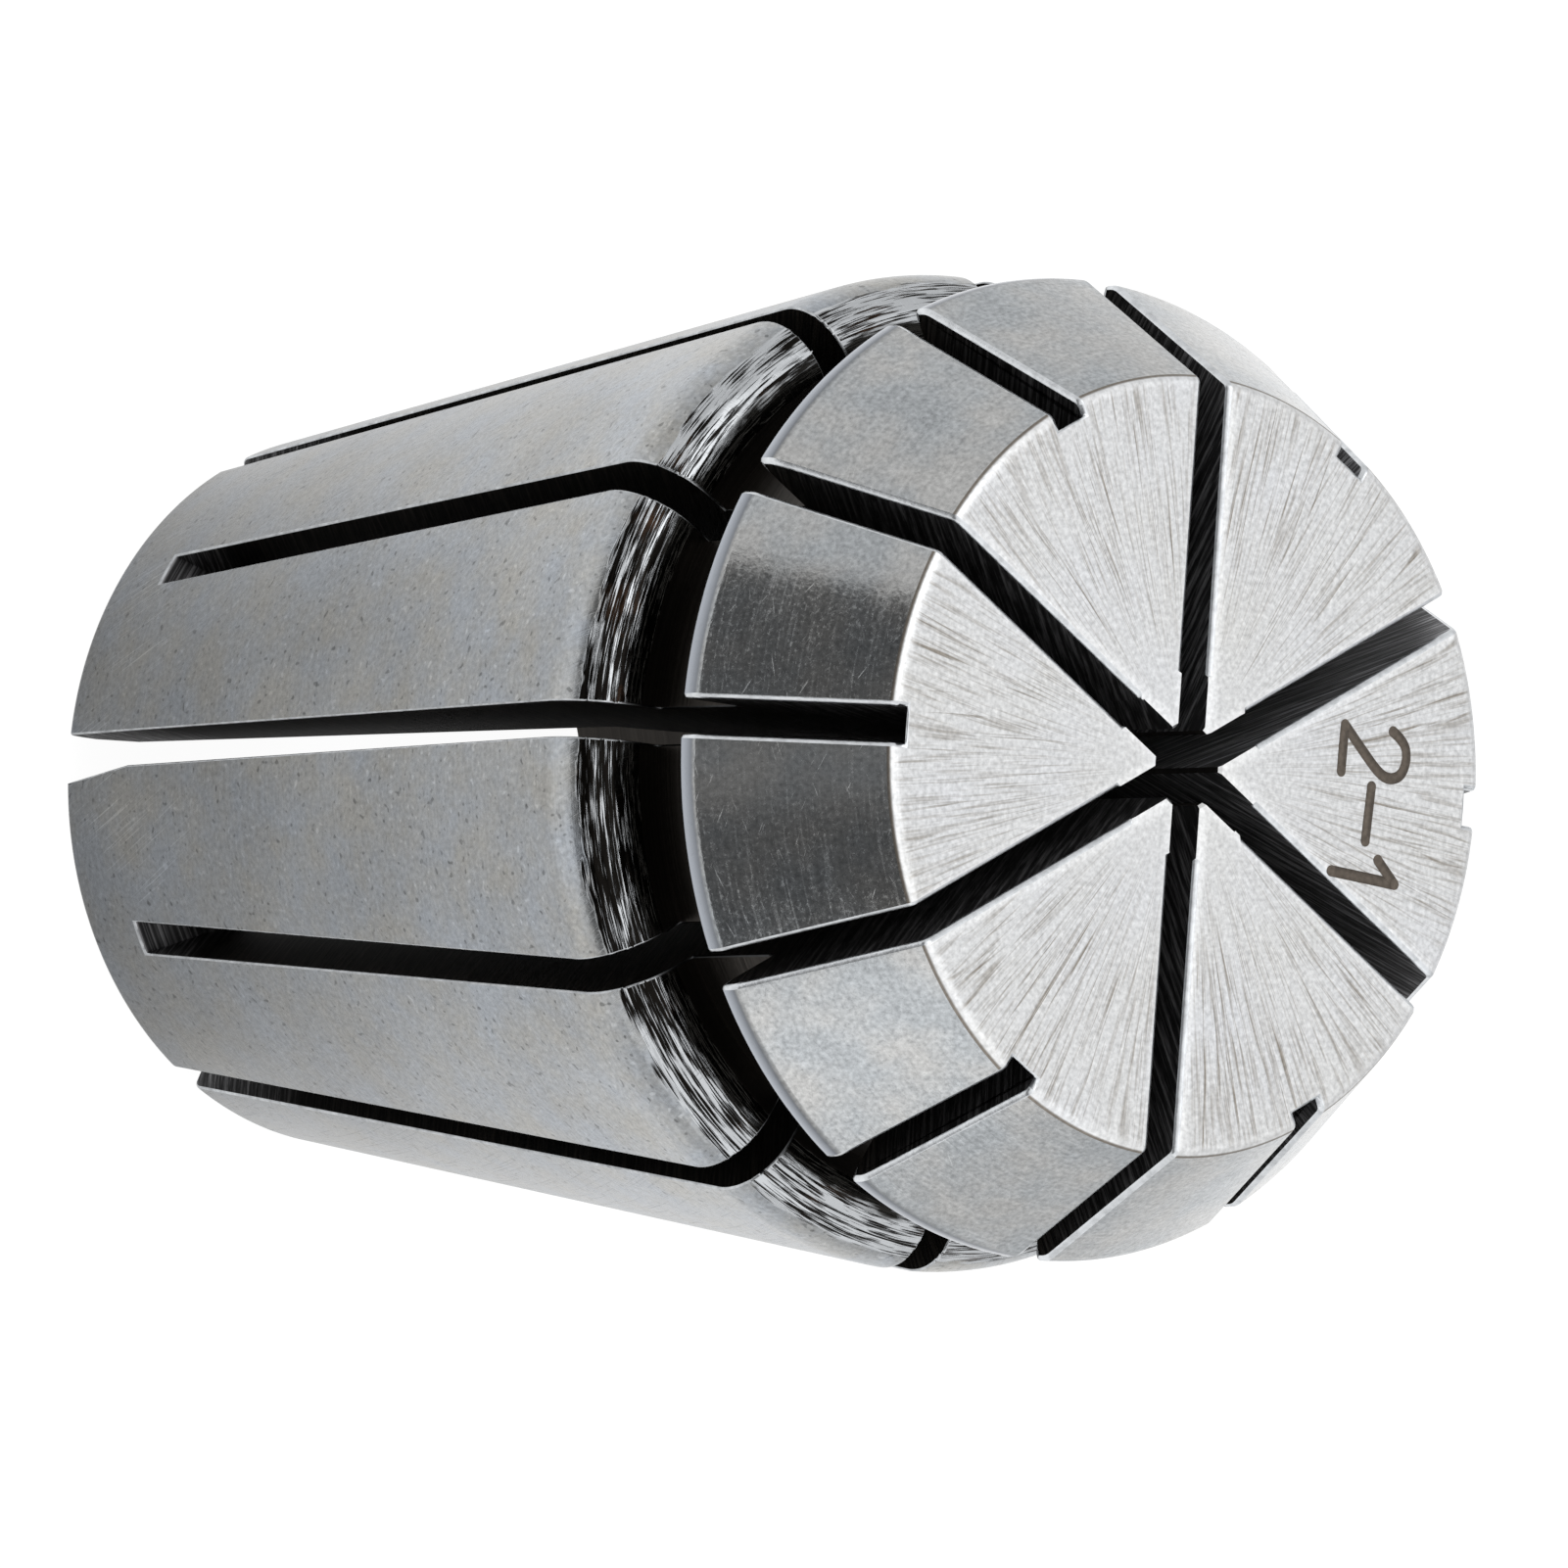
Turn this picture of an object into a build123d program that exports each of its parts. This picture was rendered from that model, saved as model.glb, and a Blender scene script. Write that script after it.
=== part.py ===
from build123d import *
import math
import os

# Spring collet with twelve slots, in millimetres.
# It stands on its small rear end. The Z axis is the collet's axis and runs
# from the rear face (z = 0) up to the front face, which the nut surrounds.

# Outer form
overall_length = 34.0
taper_diameter = 26.0  # where the body taper would meet the groove's rear wall
taper_angle = 8.0  # per side
shoulder_radius = 1.6  # round between the taper and the groove
rear_edge_radius = 0.3
groove_depth = 2.45  # in from the taper's end
groove_width = 3.15  # between the groove's two flat walls
nose_length = 5.1  # the straight band and the front cone, up to the front face
nose_angle = 30.0  # per side
lip_inset = 0.52  # in from the taper's end, at the front cone's wide end
lip_land = 0.45  # the straight band there
lip_chamfer = 0.1  # between the band and the groove
face_chamfer = 0.18  # between the front cone and the front face

# Bore
bore_diameter = 2.1
bore_mouth_chamfer = 0.08
rear_wall = 1.78  # around the wide relief bore, which is open at the rear
relief_depth = 20.4
relief_point_angle = 59.0  # the drill's point, half its included angle
relief_mouth_chamfer = 0.8

# Slots, all cut by the same saw
slot_pairs = 6  # slots from the front, and as many from the rear between them
slot_width = 0.9
saw_diameter = 63.0
saw_overrun = 2.2  # how far each cut runs past the axis
front_slot_end = 2.5  # height of a front slot's closed end on the taper
rim_nick = 0.35  # how far a rear slot bites into the edge of the front face
slot_phase = -3.0  # direction of the first rear slot, in degrees
edge_break = 0.1  # on the slots' edges at the nose

# Worn corner of the jaw beside the first rear slot
worn_width = 0.4
worn_height = 3.3

taper_slope = math.tan(math.radians(taper_angle))
nose_slope = math.tan(math.radians(nose_angle))
groove_front = overall_length - nose_length
groove_rear = groove_front - groove_width
taper_radius = taper_diameter / 2
groove_radius = taper_radius - groove_depth
rear_radius = taper_radius - groove_rear * taper_slope
lip_radius = taper_radius - lip_inset
face_radius = lip_radius - (nose_length - lip_land) * nose_slope
bore_radius = bore_diameter / 2
relief_radius = rear_radius - rear_wall
point_length = (relief_radius - bore_radius) / math.tan(math.radians(relief_point_angle))
saw_radius = saw_diameter / 2


def turned_blank():
    """The collet before slitting, revolved from half its section."""
    with BuildPart() as blank:
        with BuildSketch(Plane.XZ) as section:
            with BuildLine():
                Polyline(
                    (relief_radius, 0),
                    (rear_radius, 0),
                    (taper_radius, groove_rear),
                    (groove_radius, groove_rear),
                    (groove_radius, groove_front),
                    (lip_radius, groove_front),
                    (lip_radius, groove_front + lip_land),
                    (face_radius, overall_length),
                    (bore_radius, overall_length),
                    (bore_radius, relief_depth + point_length),
                    (relief_radius, relief_depth),
                    close=True,
                )
            make_face()

            def corner(radius, height):
                return section.vertices().sort_by_distance((radius, height))[0]

            fillet(corner(taper_radius, groove_rear), shoulder_radius)
            fillet(corner(rear_radius, 0), rear_edge_radius)
            chamfer(corner(lip_radius, groove_front), lip_chamfer)
            chamfer(corner(face_radius, overall_length), face_chamfer)
            chamfer(corner(bore_radius, overall_length), bore_mouth_chamfer)
            chamfer(corner(relief_radius, 0), relief_mouth_chamfer)
        revolve(axis=Axis.Z)
    return blank.part


def saw_cut(stop_height, direction):
    """What one slot takes away: the saw's disc and the path that it came in on.

    The disc's centre stops at stop_height. It came from the front if direction
    is 1, and from the rear if it is -1.
    """
    centre_radius = saw_radius - saw_overrun
    path_length = overall_length + saw_radius
    disc = Pos(centre_radius, 0, stop_height) * Rot(90, 0, 0) * Cylinder(saw_radius, slot_width)
    path = Pos(centre_radius, 0, stop_height + direction * path_length / 2)
    return disc + path * Box(saw_diameter, slot_width, path_length)


def saw_reach(radius):
    """How far the disc reaches along the collet from its centre, at a radius of the collet."""
    return math.sqrt(saw_radius**2 - (saw_radius - saw_overrun - radius) ** 2)


def slot_turn(number):
    """Rear slots have even numbers, and front slots the odd ones between them."""
    return Rot(0, 0, slot_phase + number * 180 / slot_pairs)


def worn_corner():
    """A wedge off the rear end of one wall of the first rear slot."""
    half_width = slot_width / 2
    outline = Polyline(
        (half_width, worn_height),
        (half_width + 2 * worn_width, -worn_height),
        (0, -worn_height),
        (0, worn_height),
        close=True,
    )
    return extrude(Plane.YZ * make_face(outline), taper_radius)


def nose_radius(height):
    """The radius of the straight band and of the front cone at a height."""
    return min(lip_radius, face_radius + (overall_length - height) * nose_slope)


def nose_edges(collet):
    """The edges of the slots' walls along the lip, the front cone and the front face."""
    walls = collet.faces().filter_by(lambda face: face.geom_type == GeomType.PLANE)
    walls = walls.filter_by(lambda face: abs(face.normal_at().Z) < 0.5)
    found = []
    for edge in walls.edges():
        middle = edge @ 0.5
        radius = math.hypot(middle.X, middle.Y)
        on_face = middle.Z > overall_length - bore_mouth_chamfer / 4
        on_side = middle.Z > groove_front + lip_chamfer / 4 and radius > nose_radius(middle.Z) - lip_chamfer
        if on_face or on_side:
            found.append(edge)
    return found


front_end_radius = rear_radius + front_slot_end * taper_slope
front_cut = saw_cut(front_slot_end + saw_reach(front_end_radius), 1)
rear_cut = saw_cut(overall_length - saw_reach(face_radius - rim_nick), -1)

collet = turned_blank()
for pair in range(slot_pairs):
    collet -= slot_turn(2 * pair) * rear_cut
    collet -= slot_turn(2 * pair + 1) * front_cut
collet = chamfer(nose_edges(collet), edge_break)
collet -= slot_turn(0) * worn_corner()

os.makedirs("parts", exist_ok=True)
export_step(collet, "parts/collet_body.step")
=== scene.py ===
import math

import bmesh
import bpy
from mathutils import Matrix, Vector, noise


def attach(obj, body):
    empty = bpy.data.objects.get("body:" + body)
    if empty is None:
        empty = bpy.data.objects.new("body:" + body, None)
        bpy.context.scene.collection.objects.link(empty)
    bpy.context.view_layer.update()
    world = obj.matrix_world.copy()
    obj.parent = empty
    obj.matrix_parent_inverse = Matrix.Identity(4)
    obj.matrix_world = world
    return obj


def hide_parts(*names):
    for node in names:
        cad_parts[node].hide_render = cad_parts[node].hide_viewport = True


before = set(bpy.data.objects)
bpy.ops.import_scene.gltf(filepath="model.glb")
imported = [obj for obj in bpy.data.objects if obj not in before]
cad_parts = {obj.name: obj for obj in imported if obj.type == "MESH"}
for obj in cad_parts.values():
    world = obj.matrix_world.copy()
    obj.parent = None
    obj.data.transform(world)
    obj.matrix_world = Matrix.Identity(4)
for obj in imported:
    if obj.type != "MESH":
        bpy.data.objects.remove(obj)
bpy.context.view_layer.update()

print("frame loaded")


def hexColour(text):
    # sRGB hex to the linear colour that the shaders want
    parts = [int(text[i:i + 2], 16) / 255 for i in (1, 3, 5)]
    return tuple(c / 12.92 if c <= 0.04045 else ((c + 0.055) / 1.055) ** 2.4 for c in parts) + (1.0,)


def addNode(tree, kind, inputs=None, **settings):
    # an input that is a socket is linked, or a node's first output, and any other is set
    node = tree.nodes.new(kind)
    for name, value in settings.items():
        setattr(node, name, value)
    for key, value in (inputs or {}).items():
        if isinstance(value, bpy.types.Node):
            value = value.outputs[0]
        if isinstance(value, bpy.types.NodeSocket):
            tree.links.new(value, node.inputs[key])
        else:
            node.inputs[key].default_value = value
    return node


def newObject(name, data):
    obj = bpy.data.objects.new(name, data)
    bpy.context.scene.collection.objects.link(obj)
    return obj


def evaluatedMesh(obj):
    graph = bpy.context.evaluated_depsgraph_get()
    graph.update()
    return bpy.data.meshes.new_from_object(obj.evaluated_get(graph), preserve_all_data_layers=True, depsgraph=graph)


def useTree(obj, tree, values):
    # a modifier's inputs are set by their identifiers
    modifier = obj.modifiers.new(tree.name, "NODES")
    modifier.node_group = tree
    for socket in tree.interface.items_tree:
        if socket.item_type == "SOCKET" and socket.in_out == "INPUT" and socket.name in values:
            modifier[socket.identifier] = values[socket.name]
    return modifier


# The collet's own sizes, in mm
collet = {
    "length": 34.0,
    "taperRadius": 13.0,
    "taperAngle": 8.0,
    "shoulderRound": 1.6,
    "rearRound": 0.3,
    "grooveRadius": 10.55,
    "grooveWidth": 3.15,
    "noseLength": 5.1,
    "noseAngle": 30.0,
    "lipRadius": 12.48,
    "lipLand": 0.45,
    "lipRound": 0.1,
    "landRound": 0.7,
    "faceRound": 0.3,
    "boreRadius": 1.05,
    "boreMouth": 0.08,
    "rearWall": 1.78,
    "reliefDepth": 20.4,
    "reliefPoint": 59.0,
    "reliefMouth": 0.8,
    "slotPairs": 6,
    "slotWidth": 0.9,
    "slotDrift": 0.035,
    "sawRadius": 31.5,
    "sawOverrun": 2.2,
    "frontSlotEnd": 2.5,
    "rimNick": 0.35,
    "slotPhase": -3.0,
    "wornWidth": 0.4,
    "wornHeight": 3.3,
    "jawColumns": 32,
    "tornFrom": 12.45,
    "tornTo": 14.05,
    "tornDepth": 0.025,
    "edgeBreak": 0.14,
    "edgeBreakFrom": 2.35,
    "sawPath": 60.0,
}
frontWall = collet["length"] - collet["noseLength"]
shoulderHeight = frontWall - collet["grooveWidth"]
taperSlope = math.tan(math.radians(collet["taperAngle"]))
noseSlope = math.tan(math.radians(collet["noseAngle"]))
rearRadius = collet["taperRadius"] - shoulderHeight * taperSlope
landTop = frontWall + collet["lipLand"]
faceRadius = collet["lipRadius"] - (collet["length"] - landTop) * noseSlope
sawCentre = collet["sawRadius"] - collet["sawOverrun"]
markRadius = 12.0  # mm, where marks round the collet are as long as they are asked for
finishes = ["groundTaper", "turnedGroove", "groundCone", "groundFace", "turnedBore", "sawnWall", "brokenEdge"]


def startMaterial(name):
    material = bpy.data.materials.new(name)
    material.use_nodes = True
    material.node_tree.nodes.clear()
    return material, material.node_tree


def turnedCoordinates(tree, *wanted):
    # where a point lies on the collet: its place in mm, its direction from the axis, its angle, radius and height
    place = addNode(tree, "ShaderNodeTexCoord").outputs["Object"]
    mm = addNode(tree, "ShaderNodeVectorMath", {0: place, "Scale": 1000.0}, operation="SCALE")
    flat = addNode(tree, "ShaderNodeVectorMath", {0: mm, 1: (1.0, 1.0, 0.0)}, operation="MULTIPLY")
    radius = addNode(tree, "ShaderNodeVectorMath", {0: flat}, operation="LENGTH").outputs["Value"]
    around = addNode(tree, "ShaderNodeVectorMath", {0: flat}, operation="NORMALIZE")
    part = addNode(tree, "ShaderNodeSeparateXYZ", {0: mm}).outputs
    angle = addNode(tree, "ShaderNodeMath", {0: part["Y"], 1: part["X"]}, operation="ARCTAN2")
    found = {"mm": mm, "around": around, "angle": angle, "radius": radius, "height": part["Z"]}
    return [found[name] for name in wanted]


def hoopStreaks(tree, around, across, length, width, start):
    # tool marks that run round the collet, with their length and width in mm
    wide = addNode(tree, "ShaderNodeVectorMath", {0: around, "Scale": markRadius / length}, operation="SCALE")
    thin = addNode(tree, "ShaderNodeMath", {0: across, 1: 1.0 / width, 2: start}, operation="MULTIPLY_ADD")
    lift = addNode(tree, "ShaderNodeCombineXYZ", {"Z": thin})
    point = addNode(tree, "ShaderNodeVectorMath", {0: wide, 1: lift}, operation="ADD")
    return addNode(tree, "ShaderNodeTexNoise", {"Vector": point, "Scale": 1.0, "Detail": 2.0})


def handlingScratches(tree, angle, across, slant, length, width, start, rarity):
    # straight fine scratches at a slant from the hoop direction, the fewer the nearer rarity is to 1
    arc = addNode(tree, "ShaderNodeMath", {0: angle, 1: markRadius}, operation="MULTIPLY")
    sheet = addNode(tree, "ShaderNodeCombineXYZ", {"X": arc, "Y": across, "Z": start})
    turned = addNode(tree, "ShaderNodeMapping", {
        "Vector": sheet, "Rotation": (0, 0, math.radians(slant)), "Scale": (1.0, 1.0, 1.0)})
    drawn = addNode(tree, "ShaderNodeVectorMath", {0: turned, 1: (1 / length, 1 / width, 1.0)}, operation="MULTIPLY")
    marks = addNode(tree, "ShaderNodeTexNoise", {"Vector": drawn, "Scale": 1.0, "Detail": 1.0})
    return addNode(tree, "ShaderNodeMapRange", {
        "Value": marks, "From Min": rarity, "From Max": rarity + 0.1})


def layPatterns(tree, base, terms):
    # patterns laid over each other: base plus each one times its weight
    total = base
    for value, weight in terms:
        total = addNode(tree, "ShaderNodeMath", {0: value, 1: weight, 2: total}, operation="MULTIPLY_ADD")
    return total


def closeSteel(tree, colour, brightness, height, depth, roughness):
    # the metal, its brightness pattern and its relief, whose depth is in mm
    toned = addNode(tree, "ShaderNodeVectorMath", {0: colour, "Scale": brightness}, operation="SCALE")
    relief = addNode(tree, "ShaderNodeBump", {"Strength": 1.0, "Distance": depth / 1000, "Height": height})
    shader = addNode(tree, "ShaderNodeBsdfPrincipled", {
        "Base Color": toned, "Metallic": 1.0, "Roughness": roughness, "Normal": relief})
    addNode(tree, "ShaderNodeOutputMaterial", {"Surface": shader})


# The grain, hoop marks and scratches of all these finishes are really a few hundredths of a millimetre across. They
# are drawn 0.06 to 0.15 mm across, as coarse as they need to show.

# Hardened spring steel, ground on the taper and blued a little by tempering: satin grey, with painted shade that
# darkens it towards the rear end.
# On the shoulder's round the turning tool tore it, which shows as black and white streaks, and behind them painted
# shade makes it near black where it turns down into the groove. The torn band is placed by height less radius, in mm,
# which grows all along the section.
taperLook = {
    "blueGrey": "#aeb3b9",
    "warmGrey": "#b1b0ac",
    "tornSteel": "#c4c7ca",
    "tornPit": "#181614",
    "tornRust": "#34261d",
    "flankShadeDark": "#2a2927",
    "roughness": 0.26,
    "grainDepth": 0.004,
    "stainsPerMm": 0.2,
    "tintsPerMm": 0.5,
    "grainPerMm": 7.5,
    "dotsPerMm": 5.5,
    "scratchSlant": 62,
    "rearShadeTone": 0.44,
    "frontShadeTone": 0.95,
}


def groundTaperMaterial(look, c):
    material, tree = startMaterial("groundTaper")
    mm, around, angle, radius, height = turnedCoordinates(tree, "mm", "around", "angle", "radius", "height")
    stain = addNode(tree, "ShaderNodeTexNoise", {
        "Vector": mm, "Scale": look["stainsPerMm"], "Detail": 3.0})
    tint = addNode(tree, "ShaderNodeTexNoise", {
        "Vector": mm, "Scale": look["tintsPerMm"], "Detail": 4.0, "Roughness": 0.6})
    grain = addNode(tree, "ShaderNodeTexNoise", {
        "Vector": mm, "Scale": look["grainPerMm"], "Detail": 3.0})
    dots = addNode(tree, "ShaderNodeTexNoise", {
        "Vector": mm, "Scale": look["dotsPerMm"], "Detail": 0.0})
    bright = addNode(tree, "ShaderNodeMapRange", {"Value": dots, "From Min": 0.72, "From Max": 0.82})
    pits = addNode(tree, "ShaderNodeMapRange", {"Value": dots, "From Min": 0.28, "From Max": 0.2})
    hoops = hoopStreaks(tree, around, height, 5.0, 0.06, 3.0)
    fine = handlingScratches(tree, angle, height, look["scratchSlant"], 3.5, 0.06, 5.0, 0.6)
    rear = addNode(tree, "ShaderNodeMapRange", {"Value": height, "From Min": 9.0, "From Max": 1.5})
    handled = addNode(tree, "ShaderNodeMapRange", {"Value": stain, "From Min": 0.48, "From Max": 0.6})
    rear = addNode(tree, "ShaderNodeMath", {0: rear, 1: handled}, operation="MULTIPLY")
    rearScratch = addNode(tree, "ShaderNodeMath", {0: fine, 1: rear}, operation="MULTIPLY")
    # painted shade: the taper darkens towards the rear end
    paintedRearShade = addNode(tree, "ShaderNodeMapRange", {
        "Value": height, "From Min": 0.0, "From Max": 23.0,
        "To Min": look["rearShadeTone"], "To Max": look["frontShadeTone"]})
    tone = layPatterns(tree, 0.22, [
        (stain, 0.42), (grain, 0.8), (hoops, 0.22), (bright, 0.4), (pits, -0.4), (rearScratch, 0.6), (fine, 0.06)])
    tone = addNode(tree, "ShaderNodeMath", {0: tone, 1: paintedRearShade}, operation="MULTIPLY")
    cool = addNode(tree, "ShaderNodeMapRange", {"Value": tint, "From Min": 0.35, "From Max": 0.65})
    ground = addNode(tree, "ShaderNodeMix", {
        0: cool, 6: hexColour(look["blueGrey"]), 7: hexColour(look["warmGrey"])}, data_type="RGBA").outputs[2]
    ground = addNode(tree, "ShaderNodeVectorMath", {0: ground, "Scale": tone}, operation="SCALE")

    across = addNode(tree, "ShaderNodeMath", {0: height, 1: radius}, operation="SUBTRACT")
    ragged = hoopStreaks(tree, around, across, 1.2, 0.3, 9.0)
    bound = layPatterns(tree, across, [(ragged, 0.8)])
    torn = addNode(tree, "ShaderNodeMapRange", {
        "Value": bound, "From Min": c["tornFrom"] + 0.36, "From Max": c["tornFrom"] + 0.44})
    flank = addNode(tree, "ShaderNodeMapRange", {
        "Value": bound, "From Min": c["tornTo"] + 0.3, "From Max": c["tornTo"] + 0.5})
    short = hoopStreaks(tree, around, across, 1.1, 0.06, 1.0)
    long = hoopStreaks(tree, around, across, 3.0, 0.1, 6.0)
    clump = hoopStreaks(tree, around, across, 1.2, 0.4, 14.0)
    ahead = addNode(tree, "ShaderNodeSeparateXYZ", {0: around}).outputs["X"]
    worse = addNode(tree, "ShaderNodeMapRange", {"Value": ahead, "From Min": 0.7, "From Max": 0.97})
    pitted = layPatterns(tree, 0.03, [(short, 0.5), (long, 0.4), (clump, 0.3), (worse, -0.08)])
    pitted = addNode(tree, "ShaderNodeMapRange", {"Value": pitted, "From Min": 0.64, "From Max": 0.57})
    rust = addNode(tree, "ShaderNodeMapRange", {"Value": tint, "From Min": 0.54, "From Max": 0.66})
    pit = addNode(tree, "ShaderNodeMix", {
        0: rust, 6: hexColour(look["tornPit"]), 7: hexColour(look["tornRust"])}, data_type="RGBA").outputs[2]
    tornColour = addNode(tree, "ShaderNodeMix", {
        0: pitted, 6: hexColour(look["tornSteel"]), 7: pit}, data_type="RGBA").outputs[2]
    colour = addNode(tree, "ShaderNodeMix", {0: torn, 6: ground, 7: tornColour}, data_type="RGBA").outputs[2]
    # painted shade: near black where the round turns down into the groove
    colour = addNode(tree, "ShaderNodeMix", {
        0: flank, 6: colour, 7: hexColour(look["flankShadeDark"])}, data_type="RGBA").outputs[2]
    tornRelief = addNode(tree, "ShaderNodeMath", {0: torn, 1: pitted}, operation="MULTIPLY")
    relief = layPatterns(tree, 0.0, [(grain, 0.9), (hoops, 0.4), (fine, -0.4), (tornRelief, -5.0)])
    rough = layPatterns(tree, look["roughness"], [(bright, 0.2), (fine, 0.1)])
    closeSteel(tree, colour, 1.0, relief, look["grainDepth"], rough)


# The same steel turned in the groove, where painted shade makes it near black, with rings of turning marks
grooveLook = {"colour": "#35322f", "roughness": 0.35, "ringDepth": 0.01, "ringLength": 14.0, "ringWidth": 0.09}


def turnedGrooveMaterial(look):
    material, tree = startMaterial("turnedGroove")
    mm, around, radius, height = turnedCoordinates(tree, "mm", "around", "radius", "height")
    across = addNode(tree, "ShaderNodeMath", {0: height, 1: radius}, operation="ADD")
    rings = hoopStreaks(tree, around, across, look["ringLength"], look["ringWidth"], 0.0)
    grain = addNode(tree, "ShaderNodeTexNoise", {"Vector": mm, "Scale": 5.0, "Detail": 2.0})
    tone = layPatterns(tree, 0.2, [(rings, 1.4), (grain, 0.5)])
    closeSteel(tree, hexColour(look["colour"])[:3], tone, rings, look["ringDepth"], look["roughness"])


# The front cone, ground finer than the taper and then tumbled: bright grey that mirrors softly, with fine hoop marks
# and duller scuffs that show light where it mirrors something dark. Its wide end, the land, is a painted reflection in
# plain bluish grey, with a darker line of painted shade along its top edge.
coneLook = {
    "coolGrey": "#b5b9bc",
    "warmGrey": "#b7b7b6",
    "bandGrey": "#adb2ba",
    "roughness": 0.13,
    "scuffRoughness": 0.4,
    "grainDepth": 0.003,
    "tintsPerMm": 0.5,
    "grainPerMm": 8.0,
    "dotsPerMm": 9.0,
}


def groundConeMaterial(look):
    material, tree = startMaterial("groundCone")
    mm, around, angle, height = turnedCoordinates(tree, "mm", "around", "angle", "height")
    tint = addNode(tree, "ShaderNodeTexNoise", {
        "Vector": mm, "Scale": look["tintsPerMm"], "Detail": 4.0})
    grain = addNode(tree, "ShaderNodeTexNoise", {
        "Vector": mm, "Scale": look["grainPerMm"], "Detail": 3.0})
    dots = addNode(tree, "ShaderNodeTexNoise", {
        "Vector": mm, "Scale": look["dotsPerMm"], "Detail": 3.0, "Roughness": 0.7})
    pits = addNode(tree, "ShaderNodeMapRange", {"Value": dots, "From Min": 0.36, "From Max": 0.26})
    scuffs = addNode(tree, "ShaderNodeMapRange", {"Value": dots, "From Min": 0.5, "From Max": 0.9})
    hoops = hoopStreaks(tree, around, height, 2.0, 0.07, 2.0)
    hoopScuffs = addNode(tree, "ShaderNodeMapRange", {"Value": hoops, "From Min": 0.5, "From Max": 0.75})
    steep = handlingScratches(tree, angle, height, 24, 1.0, 0.05, 8.0, 0.7)
    level = handlingScratches(tree, angle, height, -15, 1.3, 0.05, 4.0, 0.7)
    tone = layPatterns(tree, 0.08, [
        (tint, 0.5), (grain, 1.05), (hoops, 0.3), (pits, -0.3), (steep, 0.1), (level, 0.08)])
    cool = addNode(tree, "ShaderNodeMapRange", {"Value": tint, "From Min": 0.38, "From Max": 0.62})
    colour = addNode(tree, "ShaderNodeMix", {
        0: cool, 6: hexColour(look["coolGrey"]), 7: hexColour(look["warmGrey"])}, data_type="RGBA").outputs[2]
    colour = addNode(tree, "ShaderNodeVectorMath", {0: colour, "Scale": tone}, operation="SCALE")
    # painted reflection on the land in plain bluish grey, and painted shade in a darker line along its top edge
    band = addNode(tree, "ShaderNodeMapRange", {
        "Value": height, "From Min": landTop + 0.06, "From Max": landTop - 0.03})
    colour = addNode(tree, "ShaderNodeMix", {
        0: band, 6: colour, 7: hexColour(look["bandGrey"])}, data_type="RGBA").outputs[2]
    below = addNode(tree, "ShaderNodeMapRange", {
        "Value": height, "From Min": landTop, "From Max": landTop - 0.33, "To Min": 0.45, "To Max": 1.0})
    above = addNode(tree, "ShaderNodeMapRange", {
        "Value": height, "From Min": landTop, "From Max": landTop + 0.14, "To Min": 0.45, "To Max": 1.0})
    landEdgeShade = addNode(tree, "ShaderNodeMath", {0: below, 1: above}, operation="MAXIMUM")
    relief = layPatterns(tree, 0.0, [(grain, 1.0), (hoops, 0.7), (steep, -0.5), (level, -0.4)])
    scuffed = layPatterns(tree, 0.0, [(scuffs, 0.8), (hoopScuffs, 0.3), (steep, 0.3), (level, 0.3)])
    rough = addNode(tree, "ShaderNodeMath", {
        0: scuffed, 1: look["scuffRoughness"], 2: look["roughness"]}, operation="MULTIPLY_ADD")
    closeSteel(tree, colour, landEdgeShade, relief, look["grainDepth"], rough)


# The front face, ground by hand against a wheel: near white, with fans of dark grey scratches that run outwards
# from the bore, and edges rolled over beside the slots and the rim, where a painted highlight brightens them
faceLook = {
    "steel": "#dddddb",
    "coolSteel": "#d5d7db",
    "scratchGrey": "#948e86",
    "roughness": 0.34,
    "scratchDepth": 0.006,
    "rollAndSheenWidth": 0.4,
    "rimLine": "#77716a",
    "grainPerMm": 7.5,
    "patchesPerMm": 0.35,
    "fanRadius": 6.0,
}


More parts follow.
